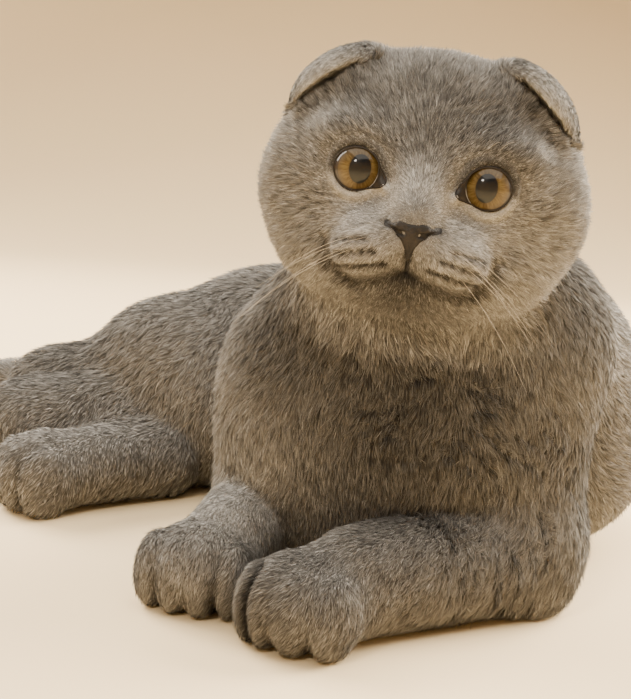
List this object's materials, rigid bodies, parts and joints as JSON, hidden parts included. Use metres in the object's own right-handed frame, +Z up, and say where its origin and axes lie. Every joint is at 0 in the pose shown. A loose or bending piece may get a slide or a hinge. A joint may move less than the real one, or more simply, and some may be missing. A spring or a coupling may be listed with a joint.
{
  "type": "scottish fold cat",
  "caption": "Life-size model of a resting scottish fold cat, lying with its chest up, forelegs stretched to one side, hips rolled and folded ears flat on a round head.",
  "frame": {"origin": "on the floor, in the middle of the flat that the brisket rests on", "axes": "+Z up from the floor, -Y the way the cat looks, +X to the cat's left"},
  "size_m": [0.4184, 0.4479, 0.234],
  "materials": {
    "coat": "plush blue-grey coat, matt",
    "ear": "short blue-grey coat, matt",
    "eye": "amber eye, wet gloss",
    "nose": "slate nose leather, fine grained"
  },
  "bodies": {
    "root": {"head": "coat", "neck": "coat", "torso": "coat", "tail_base": "coat", "tail_middle": "coat", "tail_tip": "coat", "foreleg_left": "coat", "forepaw_left": "coat", "foreleg_right": "coat", "forepaw_right": "coat", "hindleg_left": "coat", "hindpaw_left": "coat", "hindleg_right": "coat", "hindpaw_right": "coat", "ear_left": "ear", "ear_right": "ear", "eye_left": "eye", "eye_right": "eye", "nose": "nose"}
  },
  "joints": []
}
